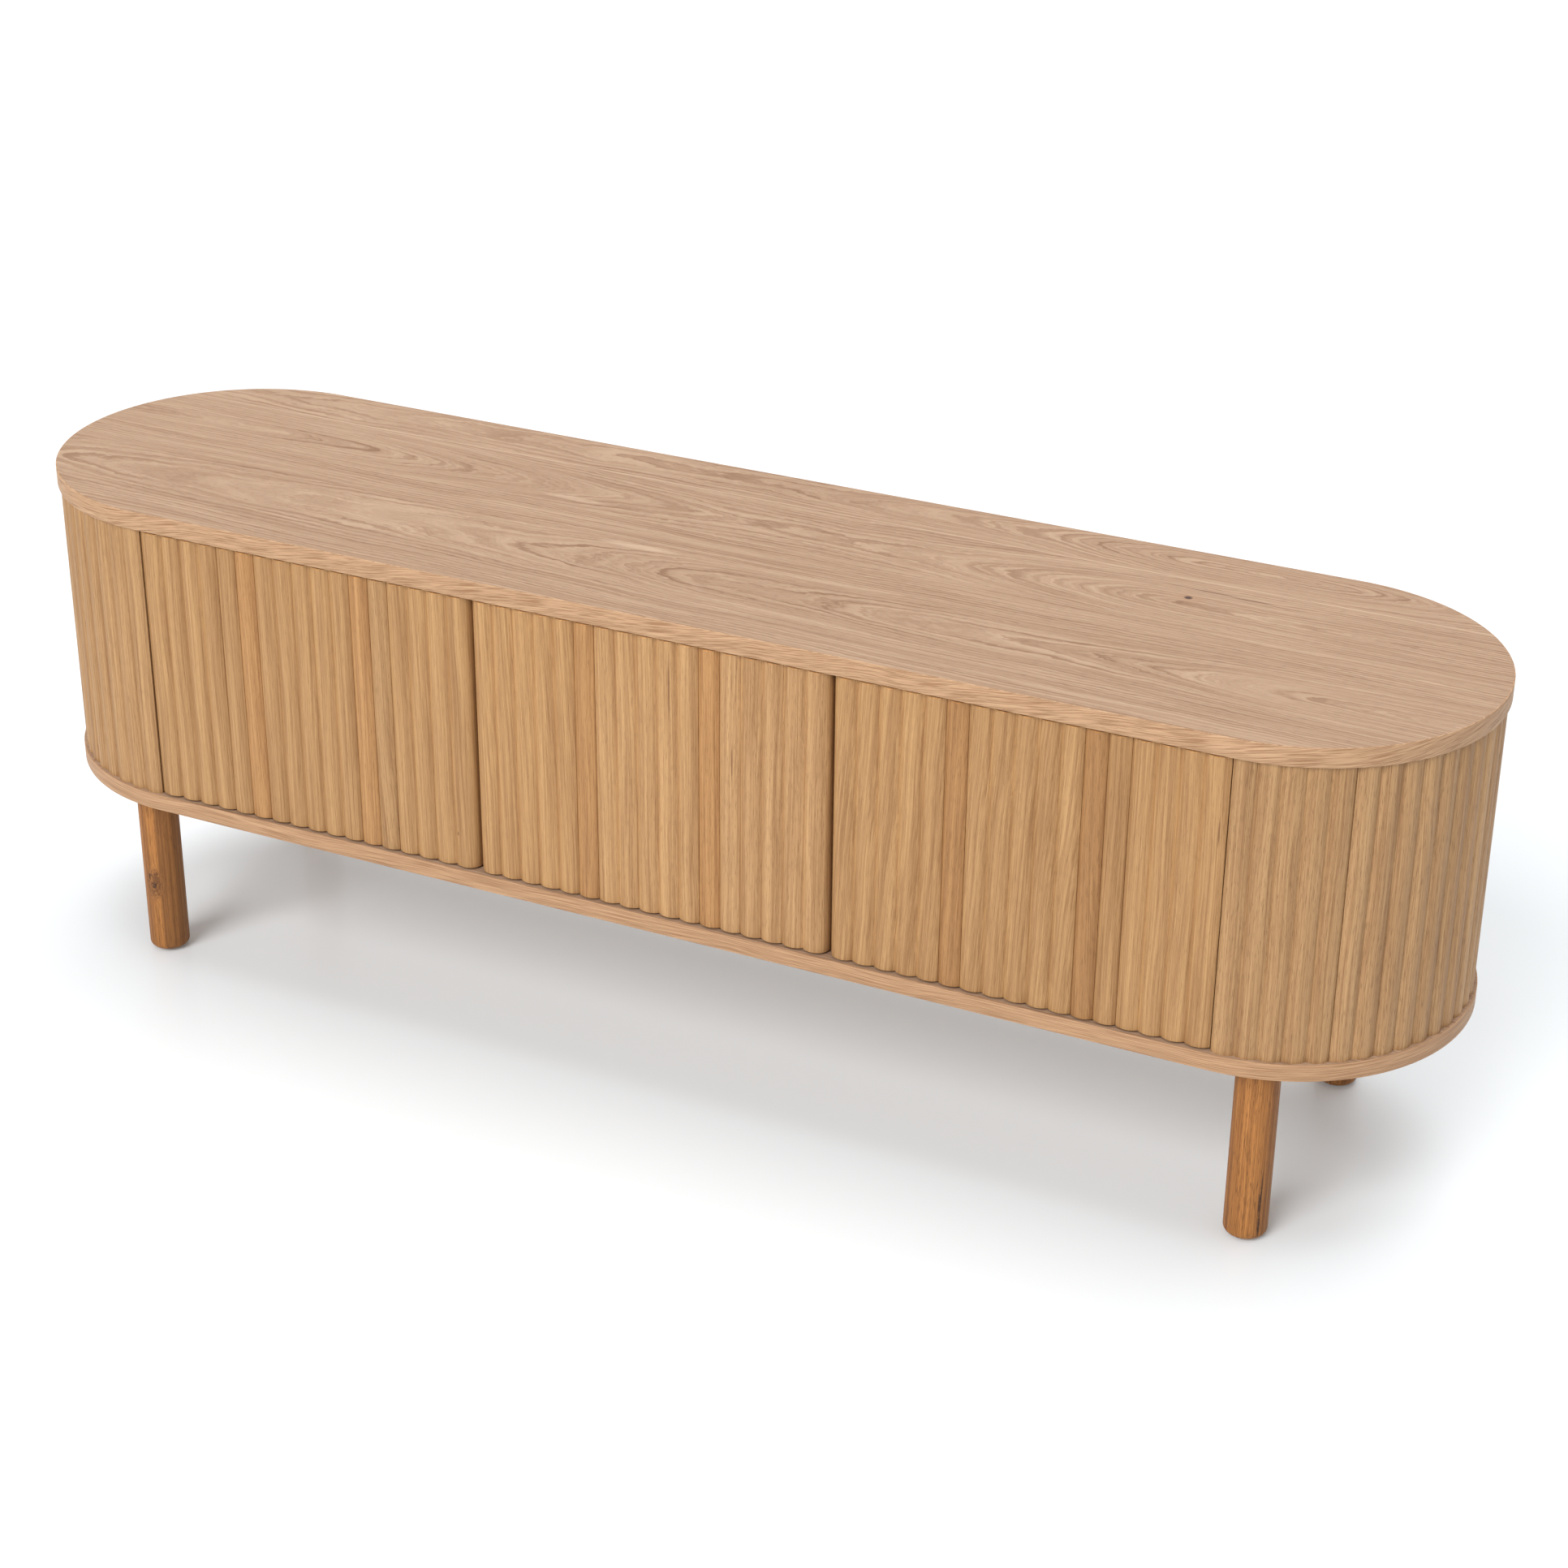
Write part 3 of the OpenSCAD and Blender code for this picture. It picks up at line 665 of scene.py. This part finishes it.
def door(side, groups, seed, material):
    """A reeded leaf; its edges round back further where they meet another door."""
    low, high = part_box(side + "_door_leaf")
    middle = (low.x + high.x) / 2
    side_deep = (DOOR_END_DEEP if side == "left" else DOOR_FREE_DEEP,
                 DOOR_END_DEEP if side == "right" else DOOR_FREE_DEEP)
    rings = []
    for inset, height in rounded_edges(low.z, high.z, DOOR_SOFT):
        plan = door_outline(high.x - low.x, high.y - low.y, inset, height, joints_of(groups),
                            side_deep)
        rings.append([(middle + x, y, z) for x, y, z in plan])
    leaf = lofted(side + "_door_reeds", rings, 40)
    bevel_top(leaf, high.z)
    rows = stave_table(groups, seed)
    edge = middle - DOOR_STEP * DOOR_REEDS / 2

    def stave_of(face):
        reed = int((face.center.x - edge) / DOOR_STEP)
        tone, warmth, slant, start = rows[min(DOOR_REEDS - 1, max(0, reed))]
        # the bevel and the softened top arris lean back; they are drawn paler, partly as pale end
        # grain and mostly as a painted highlight that makes up for the shade under the top plate's
        # overhang
        leaning = 0.3 < face.normal.z < 0.99
        return (tone * BEVEL_PAINTED_HIGHLIGHT if leaning else tone, warmth, slant, start)

    paint(leaf, "grain", [(v.co.x, v.co.y, v.co.z) for v in leaf.data.vertices])
    paint(leaf, "stave", [stave_of(f) for f in leaf.data.polygons], "FLOAT_COLOR", "FACE")
    show(leaf, side + "_door", "staves", material, side + "_door_leaf")


def end_outline(joints):
    """Plan of the right end wall about its own centre, reeds outside and plain inside."""
    reed = [(offset / CREST_R, fall) for offset, fall in
            reed_section(END_STEP / 2 * CREST_R, END_REED_DEEP)]
    valley_r = CREST_R - END_REED_DEEP
    wide = JOINT_WIDE / CREST_R
    polar = []
    for i in range(END_REEDS):
        middle = -math.pi / 2 + (i + 0.5) * END_STEP
        section = [(middle + turn, CREST_R - fall) for turn, fall in reed]
        if i < END_REEDS - 1:
            section.pop()
        polar += section
        if i + 1 in joints:
            valley = middle + END_STEP / 2
            polar.append((valley - wide, valley_r))
            polar.append((valley - wide / 2, valley_r - JOINT_DEEP))
    for k in range(END_INNER_STEPS + 1):
        polar.append((math.pi / 2 - math.pi * k / END_INNER_STEPS, END_INNER_R))
    return [(r * math.cos(a), r * math.sin(a)) for a, r in polar]


def end_wall(side, groups, seed, material):
    """Reeded half tube at one end; laid out for the right and turned round for the left."""
    node = side + "_end_panel"
    low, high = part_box(node)
    turn = 1 if side == "right" else -1
    loop = [(turn * (HALF_STRAIGHT + x), turn * y) for x, y in end_outline(joints_of(groups))]
    wall = lofted(side + "_end_reeds", [[(x, y, z) for x, y in loop] for z in (low.z, high.z)], 40)
    rows = stave_table(groups, seed)

    def angle_of(p):
        return math.atan2(turn * p.y, max(1e-6, turn * p.x - HALF_STRAIGHT))

    def reed_of(p):
        return min(END_REEDS - 1, max(0, int((angle_of(p) + math.pi / 2) / END_STEP)))

    paint(wall, "grain", [(END_GRAIN_AT * turn + angle_of(v.co) * CREST_R,
                           math.hypot(turn * v.co.x - HALF_STRAIGHT, v.co.y), v.co.z)
                          for v in wall.data.vertices])
    paint(wall, "stave", [rows[reed_of(f.center)] for f in wall.data.polygons],
          "FLOAT_COLOR", "FACE")
    show(wall, "carcass", "staves", material, node)


# ---- legs and CAD pieces ----

def leg(node, traits, material):
    """Round leg with a rounded foot; traits is (tone, knot, crack, seed)."""
    low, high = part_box(node)
    cx, cy = (low.x + high.x) / 2, (low.y + high.y) / 2
    radius = (high.x - low.x) / 2
    profile = [(radius - FOOT_ROUND * (1 - math.sin(t)), low.z + FOOT_ROUND * (1 - math.cos(t)))
               for t in (math.pi / 2 * k / FOOT_STEPS for k in range(FOOT_STEPS + 1))]
    profile += [(radius, high.z - LEG_TOP_HIGH), (radius - LEG_TOP_IN, high.z)]
    rings = [[(cx + r * math.cos(2 * math.pi * k / ROUND_STEPS),
               cy + r * math.sin(2 * math.pi * k / ROUND_STEPS), z) for k in range(ROUND_STEPS)]
             for r, z in profile]
    made = lofted(node + "_wood", rings, 40)
    paint(made, "grain", [(v.co.x - cx, v.co.y - cy, v.co.z) for v in made.data.vertices])
    paint(made, "stave", [traits] * len(made.data.polygons), "FLOAT_COLOR", "FACE")
    show(made, "carcass", "legs", material, node)


def soften(obj, width):
    """Small bevel on a CAD piece's arrises, so that they catch the light."""
    bevel = obj.modifiers.new("arris", "BEVEL")
    bevel.width = width
    bevel.segments = 2
    bevel.limit_method = "ANGLE"
    bevel.angle_limit = math.radians(50)
    bevel.harden_normals = False


def finish_cad(names, material, width=0.0):
    """Gives CAD pieces their material and, where width isn't 0, softened arrises."""
    for name in names:
        obj = CAD[name]
        obj.data.materials.clear()
        obj.data.materials.append(material)
        if width:
            soften(obj, width)


# ---- the cabinet ----

aim_camera()

VENEER = veneer_material()
STAVES = stave_material()
TOP_BAND = band_material("oak_top_band", rgb(198, 160, 124), rgb(166, 127, 94),
                         rgb(138, 96, 62), slope=0.12, length=0.036)
BASE_BAND = band_material("oak_base_band", rgb(192, 153, 117), rgb(163, 123, 89),
                          rgb(144, 103, 70), slope=0.02, length=0.070)
PALE, DEEP = rgb(196, 158, 116), rgb(160, 120, 82)
UPRIGHT = board_material("oak_upright", (1, 0, 2), PALE, DEEP)
SHELF = board_material("oak_shelf", (1, 2, 0), PALE, DEEP)
BACK = board_material("oak_back", (2, 1, 0), PALE, DEEP)
DOWEL = board_material("beech_dowel", (0, 1, 2), rgb(222, 190, 150), rgb(196, 158, 116))
LEG = leg_material()
STEEL = metal_material("steel", (0.62, 0.62, 0.63, 1.0), 0.32)
DARK = metal_material("dark_steel", (0.16, 0.16, 0.17, 1.0), 0.4)
NYLON = plastic_material("nylon", (0.18, 0.11, 0.06, 1.0), 0.45)
FELT = felt_material("felt", (0.16, 0.14, 0.13, 1.0))

plate("top", "top_lipping", "top_panel", VENEER, TOP_BAND)
plate("base", "bottom_lipping", "bottom_panel", VENEER, BASE_BAND)

PLAIN, ROSY, GREY = 0.0, 0.55, -0.35
door("left", [(4, 0.97, PLAIN, 0.0), (1, 0.96, PLAIN, 0.0), (1, 1.03, ROSY, 0.0),
              (5, 0.98, PLAIN, 0.0), (1, 1.0, ROSY, 0.0), (1, 0.94, GREY, 0.03),
              (4, 0.99, PLAIN, 0.01)], 3.1, STAVES)
door("middle", [(5, 1.05, PLAIN, 0.02), (1, 0.99, ROSY, 0.0), (5, 1.10, GREY, 0.0),
                (1, 0.98, 0.7, 0.0), (5, 1.13, -0.65, -0.02)], 11.7, STAVES)
door("right", [(5, 1.0, PLAIN, -0.06), (1, 0.85, 0.8, -0.02), (5, 0.97, PLAIN, -0.055),
               (1, 0.79, 0.85, 0.02), (1, 0.89, 0.2, 0.0), (4, 1.0, PLAIN, 0.0)],
     23.3, STAVES)
# the end walls' tones are partly painted light: the right wall, turned away from the front light,
# is set brighter, and the left wall, turned towards it, a little darker; the rest of the spread is
# each stave's own tone
end_wall("right", [(5, 1.00, -0.8, 0.0), (6, 1.06, -1.0, 0.01), (5, 1.14, -1.0, 0.0),
                   (6, 1.10, -0.7, -0.01), (5, 1.10, -0.5, 0.0)], 31.9, STAVES)
end_wall("left", [(5, 1.00, -0.5, 0.0), (6, 1.03, -0.6, 0.01), (5, 1.03, -0.6, 0.0),
                  (6, 1.01, -0.5, -0.01), (5, 0.99, -0.4, 0.0)], 45.1, STAVES)

leg("front_left_leg", (0.97, 1.0, 0.0, 2.2), LEG)
leg("front_right_leg", (1.0, 0.0, 1.0, 7.9), LEG)
leg("rear_left_leg", (0.97, 0.0, 0.0, 13.4), LEG)
leg("rear_right_leg", (0.95, 0.0, 0.0, 19.6), LEG)

finish_cad(("left_side_panel", "right_side_panel", "left_divider", "right_divider"),
           UPRIGHT, 0.5 * MM)
finish_cad(("left_shelf", "middle_shelf", "right_shelf"), SHELF, 0.8 * MM)
finish_cad(("back_panel",), BACK, 0.5 * MM)
finish_cad(("upper_dowels", "lower_dowels"), DOWEL)
finish_cad(("left_shelf_pins", "middle_shelf_pins", "right_shelf_pins", "leg_bolts",
            "leg_inserts", "catch_screws"), STEEL, 0.3 * MM)
finish_cad(("back_screws", "catch_magnets"), DARK, 0.2 * MM)
finish_cad(("upper_bushes", "lower_bushes", "catch_housings"), NYLON, 0.3 * MM)
finish_cad(("foot_pads", "door_bumpers"), FELT, 0.4 * MM)
for side in SIDES:
    finish_cad((side + "_upper_pivot", side + "_lower_pivot", side + "_strike"), STEEL, 0.2 * MM)
    finish_cad((side + "_strike_screw",), DARK, 0.2 * MM)
    finish_cad((side + "_washer",), NYLON)


# ---- stage ----

FLOOR_HALF = 40.0


def floor():
    """Pale painted floor that glows a little, so that it stays white away from the cabinet."""
    s = Shader("floor_paint", 0.22)
    cloud = s.noise(s.scale(s.place(), 3, 3, 3), detail=2)
    s.colour(s.mix(cloud, (0.752, 0.786, 0.808, 1.0), (0.762, 0.796, 0.818, 1.0)))
    s.surface.inputs["Emission Color"].default_value = (1.0, 1.0, 1.0, 1.0)
    s.surface.inputs["Emission Strength"].default_value = 0.062
    corners = [(-FLOOR_HALF, -FLOOR_HALF, 0), (FLOOR_HALF, -FLOOR_HALF, 0),
               (FLOOR_HALF, FLOOR_HALF, 0), (-FLOOR_HALF, FLOOR_HALF, 0)]
    made = mesh_object("floor", corners, [(0, 1, 2, 3)])
    made.data.materials.append(s.material)


def soft_light(name, azimuth, elevation, spread, strength):
    """Even light from a wide patch of the studio. Azimuth 0 is straight in front of the
    cabinet and 180 behind it."""
    data = bpy.data.lights.new(name, "SUN")
    data.angle = math.radians(spread)
    data.energy = strength
    turn, rise = math.radians(azimuth), math.radians(elevation)
    source = Vector((math.sin(turn) * math.cos(rise), -math.cos(turn) * math.cos(rise),
                     math.sin(rise)))
    light = bpy.data.objects.new(name, data)
    light.location = source * 4
    light.rotation_euler = source.to_track_quat("Z", "Y").to_euler()
    bpy.context.scene.collection.objects.link(light)


def studio():
    world = bpy.data.worlds.new("studio")
    world.use_nodes = True
    world.node_tree.nodes["Background"].inputs[0].default_value = (1.0, 1.0, 1.0, 1.0)
    world.node_tree.nodes["Background"].inputs[1].default_value = 0.49
    bpy.context.scene.world = world
    bpy.context.scene.view_settings.view_transform = "Standard"
    soft_light("overhead", 180, 80, 42, 1.72)
    soft_light("front_box", -11, 37, 35, 2.52)
    soft_light("rear_box", 160, 30, 50, 0.25)


floor()
studio()
